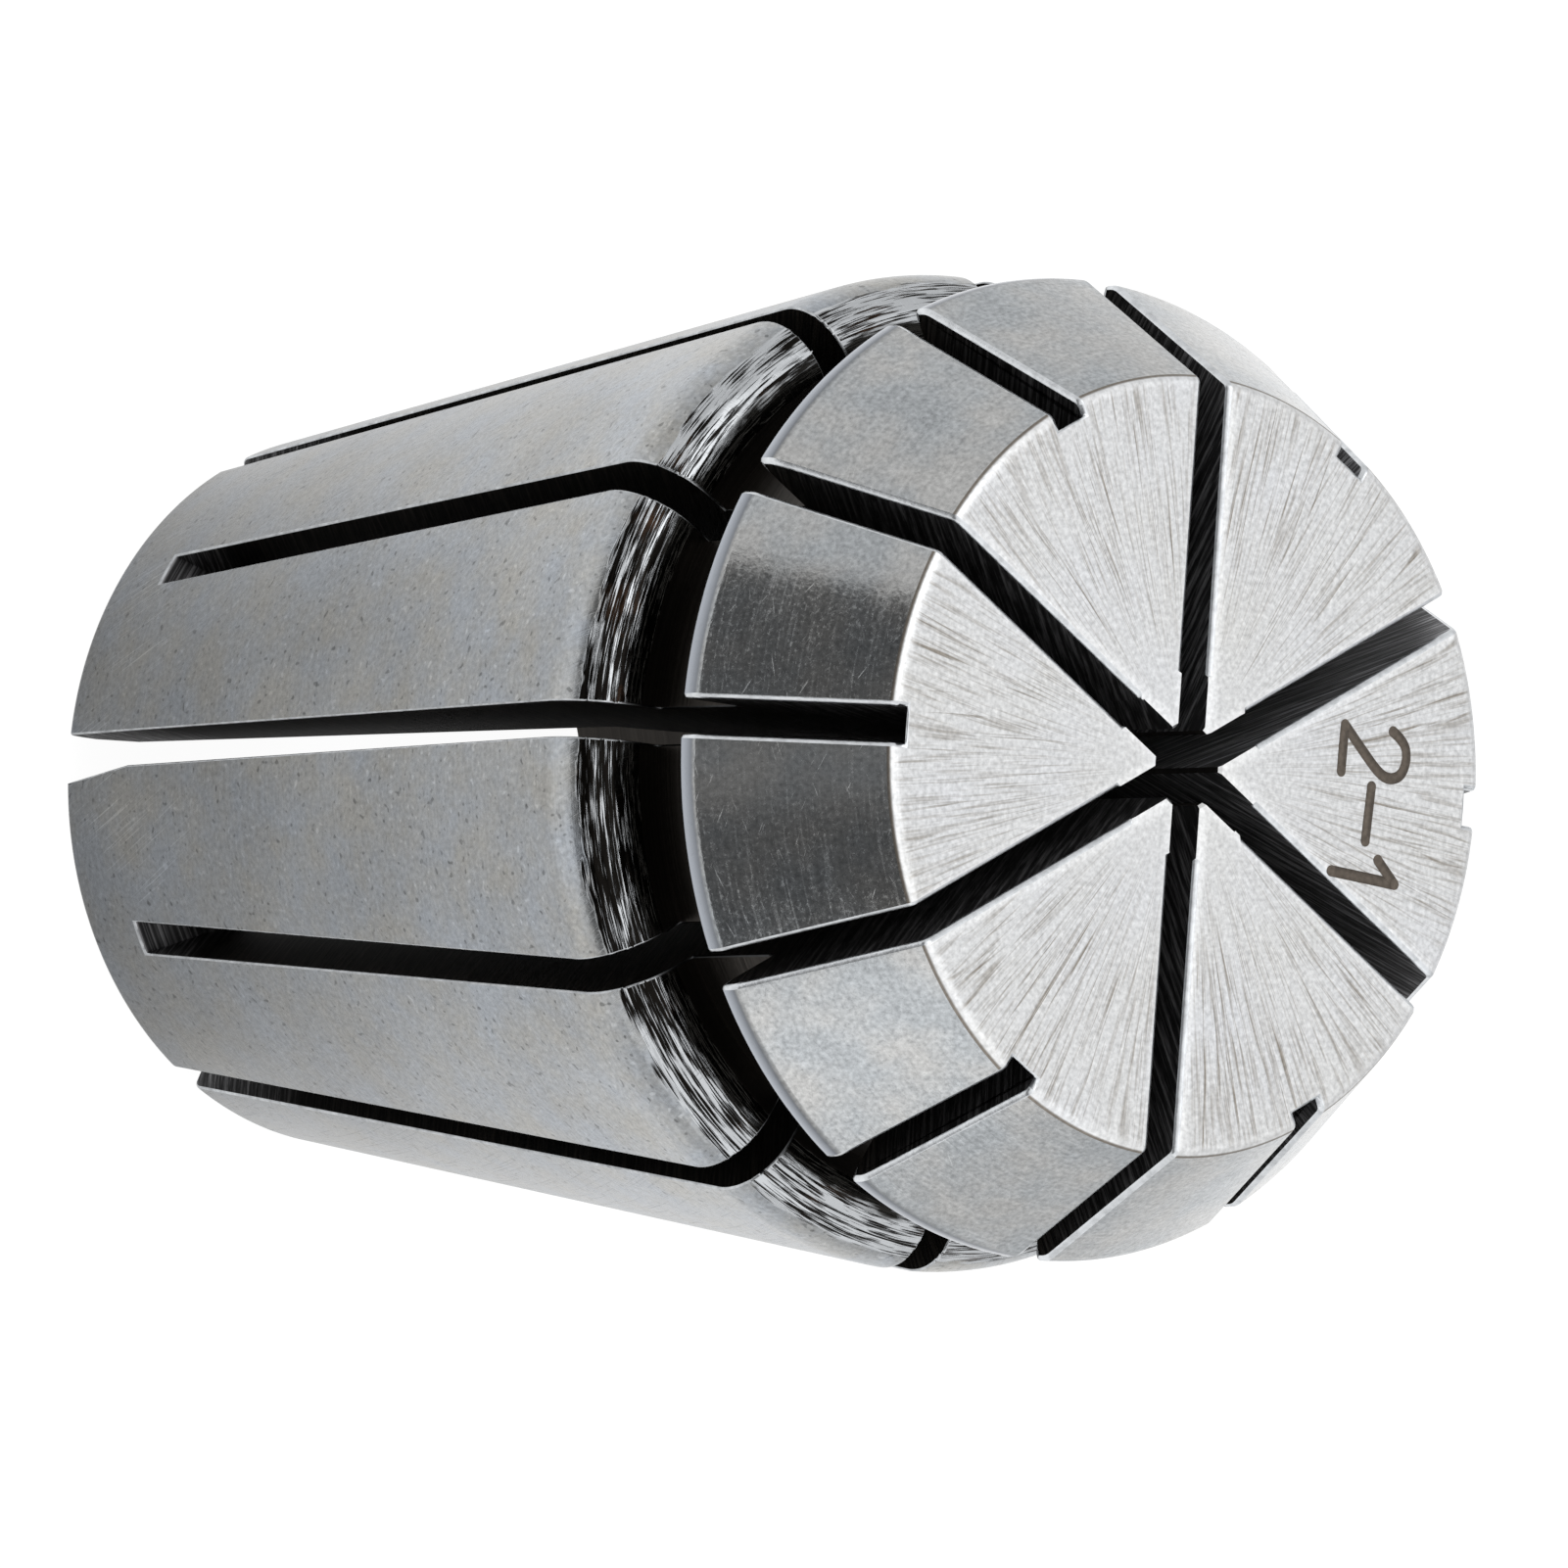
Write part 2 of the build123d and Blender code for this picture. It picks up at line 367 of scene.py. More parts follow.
def groundFaceMaterial(look, c):
    material, tree = startMaterial("groundFace")
    mm, around, angle, radius = turnedCoordinates(tree, "mm", "around", "angle", "radius")

    def fan(width, length, lean, start):
        # scratches that run outwards, in bundles that each lean a little
        bundle = addNode(tree, "ShaderNodeVectorMath", {0: around, "Scale": 3.0}, operation="SCALE")
        shifted = addNode(tree, "ShaderNodeVectorMath", {0: bundle, 1: (start, 0.0, 0.0)}, operation="ADD")
        sway = addNode(tree, "ShaderNodeTexNoise", {"Vector": shifted, "Scale": 1.0, "Detail": 2.0})
        sway = addNode(tree, "ShaderNodeMath", {0: sway, 1: 0.5}, operation="SUBTRACT")
        reach = addNode(tree, "ShaderNodeMath", {0: radius, 1: look["fanRadius"]}, operation="SUBTRACT")
        push = addNode(tree, "ShaderNodeMath", {0: sway, 1: reach}, operation="MULTIPLY")
        leant = addNode(tree, "ShaderNodeMath", {0: push, 1: lean, 2: angle}, operation="MULTIPLY_ADD")
        x = addNode(tree, "ShaderNodeMath", {0: leant}, operation="COSINE")
        y = addNode(tree, "ShaderNodeMath", {0: leant}, operation="SINE")
        z = addNode(tree, "ShaderNodeMath", {
            0: radius, 1: width / (look["fanRadius"] * length), 2: start}, operation="MULTIPLY_ADD")
        point = addNode(tree, "ShaderNodeCombineXYZ", {"X": x, "Y": y, "Z": z})
        return addNode(tree, "ShaderNodeTexNoise", {
            "Vector": point, "Scale": look["fanRadius"] / width, "Detail": 2.0, "Roughness": 0.6})

    fineFan = fan(0.07, 2.2, 0.07, 0.3)
    deepFan = fan(0.1, 4.5, 0.09, 1.7)
    grain = addNode(tree, "ShaderNodeTexNoise", {
        "Vector": mm, "Scale": look["grainPerMm"], "Detail": 3.0})
    patch = addNode(tree, "ShaderNodeTexNoise", {
        "Vector": mm, "Scale": look["patchesPerMm"], "Detail": 2.0})
    outwards = addNode(tree, "ShaderNodeMapRange", {"Value": radius, "From Min": 1.8, "From Max": 5.5})
    deep = addNode(tree, "ShaderNodeMapRange", {"Value": deepFan, "From Min": 0.4, "From Max": 0.3})
    fine = addNode(tree, "ShaderNodeMapRange", {"Value": fineFan, "From Min": 0.52, "From Max": 0.28})
    marks = layPatterns(tree, 0.0, [(deep, 0.7), (fine, 0.7)])
    marks = addNode(tree, "ShaderNodeMath", {0: marks, 1: outwards}, operation="MULTIPLY", use_clamp=True)

    # distance from the nearest slot wall, and from the rim
    pitch = 2 * math.pi / c["slotPairs"]
    first = math.radians(c["slotPhase"]) + pitch / 2
    turned = addNode(tree, "ShaderNodeMath", {0: angle, 1: pitch / 2 - first}, operation="ADD")
    turned = addNode(tree, "ShaderNodeMath", {0: turned, 1: pitch}, operation="FLOORED_MODULO")
    turned = addNode(tree, "ShaderNodeMath", {0: turned, 1: pitch / 2}, operation="SUBTRACT")
    sine = addNode(tree, "ShaderNodeMath", {0: turned}, operation="SINE")
    aside = addNode(tree, "ShaderNodeMath", {0: sine, 1: radius}, operation="MULTIPLY")
    aside = addNode(tree, "ShaderNodeMath", {0: aside}, operation="ABSOLUTE")
    aside = addNode(tree, "ShaderNodeMath", {0: aside, 1: c["slotWidth"] / 2}, operation="SUBTRACT")
    inward = addNode(tree, "ShaderNodeMath", {0: faceRadius + 0.07, 1: radius}, operation="SUBTRACT")
    nearest = addNode(tree, "ShaderNodeMath", {0: aside, 1: inward}, operation="MINIMUM")
    rolledEdgeAndSheen = addNode(tree, "ShaderNodeMapRange", {
        "Value": nearest, "From Min": look["rollAndSheenWidth"], "From Max": 0.0}, interpolation_type="SMOOTHSTEP")
    kept = addNode(tree, "ShaderNodeMath", {0: 1.0, 1: rolledEdgeAndSheen}, operation="SUBTRACT")
    marks = addNode(tree, "ShaderNodeMath", {0: marks, 1: kept}, operation="MULTIPLY")

    steel = addNode(tree, "ShaderNodeMix", {
        0: patch, 6: hexColour(look["steel"]), 7: hexColour(look["coolSteel"])}, data_type="RGBA").outputs[2]
    colour = addNode(tree, "ShaderNodeMix", {
        0: marks, 6: steel, 7: hexColour(look["scratchGrey"])}, data_type="RGBA").outputs[2]
    rim = addNode(tree, "ShaderNodeMath", {0: inward}, operation="ABSOLUTE")
    rim = addNode(tree, "ShaderNodeMapRange", {"Value": rim, "From Min": 0.06, "From Max": 0.02})
    colour = addNode(tree, "ShaderNodeMix", {
        0: rim, 6: colour, 7: hexColour(look["rimLine"])}, data_type="RGBA").outputs[2]
    # painted highlight: the rolled-over edges beside the slots and the rim are brightened
    tone = layPatterns(tree, 0.5, [(grain, 0.9), (rolledEdgeAndSheen, 0.22), (patch, 0.1)])
    relief = layPatterns(tree, 0.0, [(marks, -1.0), (grain, 0.5), (rolledEdgeAndSheen, -3.5)])
    closeSteel(tree, colour, tone, relief, look["scratchDepth"], look["roughness"])


# The bore, turned and then oiled: dark and dull, with rings
boreLook = {"colour": "#302d2a", "roughness": 0.55, "ringDepth": 0.008, "ringLength": 20.0, "ringWidth": 0.14}


def turnedBoreMaterial(look):
    material, tree = startMaterial("turnedBore")
    mm, around, height = turnedCoordinates(tree, "mm", "around", "height")
    rings = hoopStreaks(tree, around, height, look["ringLength"], look["ringWidth"], 0.0)
    cloud = addNode(tree, "ShaderNodeTexNoise", {"Vector": mm, "Scale": 0.6, "Detail": 3.0})
    tone = layPatterns(tree, 0.2, [(rings, 0.9), (cloud, 0.7)])
    closeSteel(tree, hexColour(look["colour"])[:3], tone, rings, look["ringDepth"], look["roughness"])


# The slots' walls, slit by a thin saw and never ground: matt, with slanting tooth marks. Painted shade makes them
# black and brownish deep inside, and painted light makes them grey towards the front, a little towards the rear end,
# and most on one slot.
wallLook = {
    "paintedShade": "#1d1a17",
    "paintedLight": "#a6a6a9",
    "roughness": 0.75,
    "litEndRoughness": 0.5,
    "markDepth": 0.015,
    "markSlant": -31,
    "marksPerMm": (0.4, 8.0, 1.0),
    "litFrom": 29.0,
    "litTo": 33.4,
    "litSlot": 207,
}


def sawnWallMaterial(look):
    material, tree = startMaterial("sawnWall")
    mm, around, radius, height = turnedCoordinates(tree, "mm", "around", "radius", "height")
    sheet = addNode(tree, "ShaderNodeCombineXYZ", {"X": radius, "Y": height})
    slant = addNode(tree, "ShaderNodeMapping", {"Vector": sheet, "Rotation": (0, 0, math.radians(look["markSlant"]))})
    drawn = addNode(tree, "ShaderNodeVectorMath", {0: slant, 1: look["marksPerMm"]}, operation="MULTIPLY")
    teeth = addNode(tree, "ShaderNodeTexNoise", {
        "Vector": drawn, "Scale": 1.0, "Detail": 4.0, "Roughness": 0.7})
    cloud = addNode(tree, "ShaderNodeTexNoise", {"Vector": mm, "Scale": 1.2, "Detail": 2.0})
    sharp = addNode(tree, "ShaderNodeMapRange", {"Value": teeth, "From Min": 0.47, "From Max": 0.66})
    tone = layPatterns(tree, 0.02, [(sharp, 1.9), (cloud, 0.45)])
    # painted light where light gets into the slots: towards the front face, towards the rear end, and most on one slot
    brightestSlot = math.radians(look["litSlot"])
    slotLight = addNode(tree, "ShaderNodeVectorMath", {
        0: around, 1: (math.cos(brightestSlot), math.sin(brightestSlot), 0.0)}, operation="DOT_PRODUCT").outputs["Value"]
    slotLight = addNode(tree, "ShaderNodeMapRange", {
        "Value": slotLight, "From Min": 0.4, "From Max": 0.9, "To Min": 0.3, "To Max": 1.0})
    front = addNode(tree, "ShaderNodeMapRange", {
        "Value": height, "From Min": look["litFrom"], "From Max": look["litTo"]})
    front = addNode(tree, "ShaderNodeMath", {0: front, 1: slotLight}, operation="MULTIPLY")
    rear = addNode(tree, "ShaderNodeMapRange", {"Value": height, "From Min": 5.0, "From Max": 2.5, "To Max": 0.35})
    paintedLightShare = addNode(tree, "ShaderNodeMath", {0: front, 1: rear}, operation="ADD")
    colour = addNode(tree, "ShaderNodeMix", {
        0: paintedLightShare, 6: hexColour(look["paintedShade"]), 7: hexColour(look["paintedLight"])}, data_type="RGBA").outputs[2]
    rough = addNode(tree, "ShaderNodeMapRange", {
        "Value": paintedLightShare, "To Min": look["roughness"], "To Max": look["litEndRoughness"]})
    closeSteel(tree, colour, tone, teeth, look["markDepth"], rough)


# The slots' broken edges, where a file and tumbling left bright metal, uneven along the edge, with painted shade that
# makes them near black in the groove
edgeLook = {"colour": "#d4d7da", "roughness": 0.28, "nickDepth": 0.01}


def brokenEdgeMaterial(look):
    material, tree = startMaterial("brokenEdge")
    mm, height = turnedCoordinates(tree, "mm", "height")
    nicks = addNode(tree, "ShaderNodeTexNoise", {
        "Vector": mm, "Scale": 2.8, "Detail": 3.0, "Roughness": 0.7})
    nose = addNode(tree, "ShaderNodeMapRange", {
        "Value": height, "From Min": 26.0, "From Max": 29.0, "To Min": 0.0, "To Max": 0.3})
    tone = layPatterns(tree, 0.15, [(nicks, 1.2), (nose, 1.0)])
    tone = addNode(tree, "ShaderNodeMath", {0: tone, 1: 1.15}, operation="MINIMUM")
    # painted shade: the edges go near black in the groove
    fromGroove = addNode(tree, "ShaderNodeMath", {
        0: height, 1: (shoulderHeight + frontWall) / 2}, operation="SUBTRACT")
    fromGroove = addNode(tree, "ShaderNodeMath", {0: fromGroove}, operation="ABSOLUTE")
    paintedShade = addNode(tree, "ShaderNodeMapRange", {
        "Value": fromGroove, "From Min": 1.56, "From Max": 1.72, "To Min": 0.06, "To Max": 1.0})
    tone = addNode(tree, "ShaderNodeMath", {0: tone, 1: paintedShade}, operation="MULTIPLY")
    closeSteel(tree, hexColour(look["colour"])[:3], tone, nicks, look["nickDepth"], look["roughness"])


# The size etched by laser: a matt brown-grey burnt skin on the steel
etchLook = {"colour": "#6a625a", "roughness": 0.6, "skinDepth": 0.004}


def laserEtchedMaterial(look):
    material, tree = startMaterial("laserEtched")
    [mm] = turnedCoordinates(tree, "mm")
    burn = addNode(tree, "ShaderNodeTexNoise", {"Vector": mm, "Scale": 7.0, "Detail": 2.0})
    tone = layPatterns(tree, 0.55, [(burn, 0.9)])
    closeSteel(tree, hexColour(look["colour"])[:3], tone, burn, look["skinDepth"], look["roughness"])


groundTaperMaterial(taperLook, collet)
turnedGrooveMaterial(grooveLook)
groundConeMaterial(coneLook)
groundFaceMaterial(faceLook, collet)
turnedBoreMaterial(boreLook)
sawnWallMaterial(wallLook)
brokenEdgeMaterial(edgeLook)
laserEtchedMaterial(etchLook)
print("materials made")


def arcPoints(corner, before, after, radius, count):
    # a round of that radius in place of a corner, as count + 1 points
    a = (Vector(before) - Vector(corner)).normalized()
    b = (Vector(after) - Vector(corner)).normalized()
    half = a.angle(b) / 2
    reach = radius / math.tan(half)
    middle = Vector(corner) + (a + b).normalized() * radius / math.sin(half)
    start = Vector(corner) + a * reach - middle
    end = Vector(corner) + b * reach - middle
    swing = start.angle(end)
    points = []
    for i in range(count + 1):
        t = i / count
        point = (start * math.sin((1 - t) * swing) + end * math.sin(t * swing)) / math.sin(swing)
        points.append(tuple(middle + point))
    return points


def straight(start, end, cuts):
    # points between two ends, at these shares of the way
    return [tuple(Vector(start).lerp(Vector(end), t)) for t in cuts]


def sectionLoop(c):
    # the turned section as one closed loop of (radius, height, finish of the run that starts there)
    relief = rearRadius - c["rearWall"]
    top = c["length"]
    rear = (rearRadius, 0.0)
    shoulder = (c["taperRadius"], shoulderHeight)
    lip = (c["lipRadius"], frontWall)
    land = (c["lipRadius"], landTop)
    face = (faceRadius, top)
    grooveRear = (c["grooveRadius"], shoulderHeight)
    grooveFront = (c["grooveRadius"], frontWall)
    pointHeight = c["reliefDepth"] + (relief - c["boreRadius"]) / math.tan(math.radians(c["reliefPoint"]))
    rearArc = arcPoints(rear, (relief, 0), shoulder, c["rearRound"], 4)
    shoulderArc = arcPoints(shoulder, rear, grooveRear, c["shoulderRound"], 40)
    lipArc = arcPoints(lip, grooveFront, land, c["lipRound"], 3)
    landArc = arcPoints(land, lip, face, c["landRound"], 5)
    faceArc = arcPoints(face, land, (0, top), c["faceRound"], 7)
    slotEnd = c["frontSlotEnd"]
    loop = []

    def run(points, finish):
        loop.extend((p[0], p[1], finish) for p in points)

    def taperRun(start, end, count):
        rows = [start + (end - start) * i / count for i in range(count)]
        run([(rearRadius + z * taperSlope, z) for z in rows], "groundTaper")

    run([(relief, c["reliefMouth"]), (relief + c["reliefMouth"], 0)], "turnedBore")
    run(rearArc[:-1], "groundTaper")
    taperRun(rearArc[-1][1], slotEnd - 0.22, 3)
    taperRun(slotEnd - 0.22, slotEnd + 0.2, 1)
    taperRun(slotEnd + 0.2, shoulderArc[0][1], 24)
    run(shoulderArc[:-1], "groundTaper")
    run(straight(shoulderArc[-1], grooveRear, (0, 0.5)), "turnedGroove")
    run(straight(grooveRear, grooveFront, (0, 0.08, 0.5, 0.92)), "turnedGroove")
    run(straight(grooveFront, lipArc[0], (0, 0.15, 0.6)), "turnedGroove")
    run(lipArc[:-1], "groundCone")
    run(straight(lipArc[-1], landArc[0], (0, 0.5)), "groundCone")
    run(landArc[:-1], "groundCone")
    run(straight(landArc[-1], faceArc[0], [i / 14 for i in range(14)]), "groundCone")
    run(faceArc[:-1], "groundFace")
    nick = faceRadius - c["rimNick"]
    run([faceArc[-1]], "groundFace")
    run([(r, top) for r in (nick - 0.2, 6.4, 2.55, c["boreRadius"] + c["boreMouth"])], "groundFace")
    run([(c["boreRadius"], top - c["boreMouth"]), (c["boreRadius"], top - 4)], "turnedBore")
    run(straight((c["boreRadius"], pointHeight), (relief, c["reliefDepth"]), (0, 0.12, 0.4, 0.7)), "turnedBore")
    run(straight((relief, c["reliefDepth"]), (relief, c["reliefMouth"]), (0, 0.25, 0.5, 0.75, 0.84)), "turnedBore")
    return loop


def columnAngles(radius, c):
    # lines that keep a fixed distance from the nearest slot's walls, so that each cut falls between two of them
    half = c["slotWidth"] / 2
    pitch = math.pi / c["slotPairs"]
    r = max(radius, 3.4)
    inside, outside = math.asin((half - 0.16) / r), math.asin((half + 0.17) / r)
    jaw = [outside + (pitch - 2 * outside) * i / c["jawColumns"] for i in range(c["jawColumns"] + 1)]
    once = [0.0, inside] + jaw + [pitch - inside]
    return [a + pitch * k for k in range(2 * c["slotPairs"]) for a in once]


def tornOffset(angle, radius, height, c):
    # how far the torn steel stands proud of the shoulder at a point, or lies below it
    across = height - radius
    fadeIn = min(max((across - c["tornFrom"]) / 0.2 + 0.5, 0.0), 1.0)
    fadeOut = min(max((c["tornTo"] - across) / 0.3 + 0.5, 0.0), 1.0)
    if fadeIn * fadeOut == 0:
        return 0.0
    short = noise.noise(Vector((math.cos(angle) * 16, math.sin(angle) * 16, across / 0.16)))
    long = noise.noise(Vector((math.cos(angle) * 5, math.sin(angle) * 5, across / 0.24 + 40)))
    tear = min(max((0.6 * short + 0.6 * long) * 3, -1.0), 1.0)
    return c["tornDepth"] * tear * fadeIn * fadeOut


def turnedBlank(c):
    phase = math.radians(c["slotPhase"])
    verts, faces, marks, rows = [], [], [], []
    loop = sectionLoop(c)
    for radius, height, finish in loop:
        angles = columnAngles(radius, c)
        rows.append(len(verts))
        for a in angles:
            r = radius + (tornOffset(a, radius, height, c) if radius > c["grooveRadius"] + 0.2 else 0)
            verts.append((r * math.cos(a + phase), r * math.sin(a + phase), height))
    count = len(angles)
    for i, (radius, height, finish) in enumerate(loop):
        a, b = rows[i], rows[(i + 1) % len(loop)]
        for j in range(count):
            k = (j + 1) % count
            faces.append((a + j, a + k, b + k, b + j))
            marks.append(finishes.index(finish))
    mesh = bpy.data.meshes.new("turnedBlank")
    mesh.from_pydata(verts, [], faces)
    for finish in finishes:
        mesh.materials.append(bpy.data.materials[finish])
    mesh.polygons.foreach_set("material_index", marks)
    mesh.update()
    return newObject("turnedBlank", mesh)


def slitTree():
    # cuts one slot from the front and one from the rear, as often as there are pairs
    tree = bpy.data.node_groups.new("slitCollet", "GeometryNodeTree")
    sockets = tree.interface
    sockets.new_socket("Blank", in_out="INPUT", socket_type="NodeSocketGeometry")
    sockets.new_socket("Slot Pairs", in_out="INPUT", socket_type="NodeSocketInt")
    sockets.new_socket("Drift Seed", in_out="INPUT", socket_type="NodeSocketInt")
    for name in ("Slot Width", "Slot Drift", "Saw Radius", "Saw Centre",
                 "Front Cut Height", "Rear Cut Height", "Path", "Phase"):
        sockets.new_socket(name, in_out="INPUT", socket_type="NodeSocketFloat")
    sockets.new_socket("Saw Finish", in_out="INPUT", socket_type="NodeSocketMaterial")
    sockets.new_socket("Collet", in_out="OUTPUT", socket_type="NodeSocketGeometry")
    into = addNode(tree, "NodeGroupInput").outputs

    disc = addNode(tree, "GeometryNodeMeshCylinder", {
        "Vertices": 256, "Radius": into["Saw Radius"], "Depth": into["Slot Width"]}, fill_type="NGON")
    turned = addNode(tree, "GeometryNodeTransform", {"Geometry": disc, "Rotation": (math.pi / 2, 0, 0)})
    place = addNode(tree, "GeometryNodeInputPosition")
    height = addNode(tree, "ShaderNodeSeparateXYZ", {0: place}).outputs["Z"]

    def sawPath(direction, cutHeight):
        # the disc's far half moves away along the collet, which leaves the path that it came in on
        side = "GREATER_THAN" if direction > 0 else "LESS_THAN"
        far = addNode(tree, "FunctionNodeCompare", {
            0: height, 1: 0.01 * direction}, data_type="FLOAT", operation=side)
        reach = addNode(tree, "ShaderNodeMath", {0: into["Path"], 1: float(direction)}, operation="MULTIPLY")
        offset = addNode(tree, "ShaderNodeCombineXYZ", {"Z": reach})
        long = addNode(tree, "GeometryNodeSetPosition", {"Geometry": turned, "Selection": far, "Offset": offset})
        stop = addNode(tree, "ShaderNodeCombineXYZ", {"X": into["Saw Centre"], "Z": into[cutHeight]})
        placed = addNode(tree, "GeometryNodeTransform", {"Geometry": long, "Translation": stop})
        return addNode(tree, "GeometryNodeSetMaterial", {"Geometry": placed, "Material": into["Saw Finish"]})

    fromFront, fromRear = sawPath(1, "Front Cut Height"), sawPath(-1, "Rear Cut Height")
    start = addNode(tree, "GeometryNodeRepeatInput", {"Iterations": into["Slot Pairs"]})
    stop = addNode(tree, "GeometryNodeRepeatOutput")
    start.pair_with_output(stop)
    tree.links.new(into["Blank"], start.inputs["Geometry"])
    turnStep = addNode(tree, "ShaderNodeMath", {0: 2 * math.pi, 1: into["Slot Pairs"]}, operation="DIVIDE")
    rearTurn = addNode(tree, "ShaderNodeMath", {
        0: start.outputs["Iteration"], 1: turnStep, 2: into["Phase"]}, operation="MULTIPLY_ADD")
    frontTurn = addNode(tree, "ShaderNodeMath", {0: turnStep, 1: 0.5, 2: rearTurn}, operation="MULTIPLY_ADD")
    least = addNode(tree, "ShaderNodeMath", {0: into["Slot Drift"], 1: -1.0}, operation="MULTIPLY")
    work = start.outputs["Geometry"]
    for cutter, turn, shuffle in ((fromRear, rearTurn, 0), (fromFront, frontTurn, 100)):
        cutId = addNode(tree, "ShaderNodeMath", {0: start.outputs["Iteration"], 1: float(shuffle)}, operation="ADD")
        drift = addNode(tree, "FunctionNodeRandomValue", {
            2: least, 3: into["Slot Drift"], "ID": cutId, "Seed": into["Drift Seed"]}, data_type="FLOAT").outputs[1]
        aside = addNode(tree, "ShaderNodeCombineXYZ", {"Y": drift})
        moved = addNode(tree, "GeometryNodeTransform", {"Geometry": cutter, "Translation": aside})
        spin = addNode(tree, "ShaderNodeCombineXYZ", {"Z": turn})
        aimed = addNode(tree, "GeometryNodeTransform", {"Geometry": moved, "Rotation": spin})
        cut = addNode(tree, "GeometryNodeMeshBoolean", {
            "Mesh 1": work, "Mesh 2": aimed}, operation="DIFFERENCE", solver="MANIFOLD")
        work = cut.outputs["Mesh"]
    tree.links.new(work, stop.inputs["Geometry"])
    whole = addNode(tree, "GeometryNodeRealizeInstances", {"Geometry": stop.outputs["Geometry"]})
    addNode(tree, "NodeGroupOutput", {0: whole})
    return tree


def sawReach(radius):
    # how far the saw reaches along the collet from its centre, at a radius of the collet
    return math.sqrt(collet["sawRadius"] ** 2 - (sawCentre - radius) ** 2)


def wornWedge(c):
    # what is worn off the rear end of the jaw beside the first rear slot
    half, width, height = c["slotWidth"] / 2, c["wornWidth"], c["wornHeight"]
    outline = [(half, height), (0.0, height), (0.0, -height), (half + 2 * width, -height)]
    turn = Matrix.Rotation(math.radians(c["slotPhase"]), 3, "Z")
    verts = [turn @ Vector((x, y, z)) for x in (3.0, 14.0) for y, z in outline]
    faces = [(0, 1, 2, 3), (7, 6, 5, 4), (0, 4, 5, 1), (1, 5, 6, 2), (2, 6, 7, 3), (3, 7, 4, 0)]
    mesh = bpy.data.meshes.new("wornWedge")
    mesh.from_pydata(verts, [], faces)
    mesh.materials.append(bpy.data.materials["sawnWall"])
    bm = bmesh.new()
    bm.from_mesh(mesh)
    bmesh.ops.recalc_face_normals(bm, faces=bm.faces)
    bm.to_mesh(mesh)
    bm.free()
    return newObject("wornWedge", mesh)


def breakEdges(mesh):
    # joins the flat face into single faces and says how far each slot edge is broken
    bm = bmesh.new()
    bm.from_mesh(mesh)
    bmesh.ops.remove_doubles(bm, verts=bm.verts, dist=0.002)
    saw, flat, inner = (finishes.index(name) for name in ("sawnWall", "groundFace", "turnedBore"))
    inFace = [e for e in bm.edges if len(e.link_faces) == 2
              and all(f.material_index == flat and f.normal.z > 0.999 for f in e.link_faces)]
    bmesh.ops.dissolve_edges(bm, edges=inFace, use_verts=False)
    weights = bm.edges.layers.float.new("bevel_weight_edge")
    share = {"groundFace": 0.9, "groundCone": 0.9, "groundTaper": 0.36, "turnedGroove": 0.25}
    for e in bm.edges:
        if len(e.link_faces) != 2:
            continue
        kinds = [f.material_index for f in e.link_faces]
        if (kinds[0] == saw) == (kinds[1] == saw):
            continue
        other = kinds[0] if kinds[1] == saw else kinds[1]
        if other != inner and min(v.co.xy.length for v in e.verts) > collet["edgeBreakFrom"]:
            e[weights] = share[finishes[other]]
    done = bpy.data.meshes.new("slitMesh")
    for material in mesh.materials:
        done.materials.append(material)
    bm.to_mesh(done)
    bm.free()
    return done


blank = turnedBlank(collet)
useTree(blank, slitTree(), {
    "Slot Pairs": collet["slotPairs"],
    "Drift Seed": 4,
    "Slot Width": collet["slotWidth"],
    "Slot Drift": collet["slotDrift"],
    "Saw Radius": collet["sawRadius"],
    "Saw Centre": sawCentre,
    "Front Cut Height": collet["frontSlotEnd"] + sawReach(rearRadius + collet["frontSlotEnd"] * taperSlope),
    "Rear Cut Height": collet["length"] - sawReach(faceRadius - collet["rimNick"]),
    "Path": collet["sawPath"],
    "Phase": math.radians(collet["slotPhase"]),
    "Saw Finish": bpy.data.materials["sawnWall"],
})
wedge = wornWedge(collet)
wear = blank.modifiers.new("wornCorner", "BOOLEAN")
wear.object = wedge
wear.operation = "DIFFERENCE"
wear.solver = "MANIFOLD"
wear.material_mode = "TRANSFER"
slit = evaluatedMesh(blank)
bpy.data.objects.remove(blank)
bpy.data.objects.remove(wedge)
print("collet slit,", len(slit.polygons), "faces, materials", [m.name for m in slit.materials])

work = newObject("work", breakEdges(slit))
bevel = work.modifiers.new("edgeBreak", "BEVEL")
bevel.limit_method = "WEIGHT"
bevel.width = collet["edgeBreak"]
bevel.segments = 2
bevel.use_clamp_overlap = False
bevel.loop_slide = True
bevel.material = finishes.index("brokenEdge")
even = work.modifiers.new("evenShading", "WEIGHTED_NORMAL")
even.mode = "FACE_AREA"
even.weight = 60
even.keep_sharp = True
for polygon in work.data.polygons:
    polygon.use_smooth = True
work.data.update()
work.data.set_sharp_from_angle(angle=math.radians(35))
finished = evaluatedMesh(work)
bpy.data.objects.remove(work)
finished.transform(Matrix.Scale(0.001, 4))
finished.name = "slitCollet"
body = newObject("slit_collet", finished)
print("collet finished,", sum(len(p.vertices) - 2 for p in finished.polygons), "triangles")
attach(body, "root")
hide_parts("collet_body")


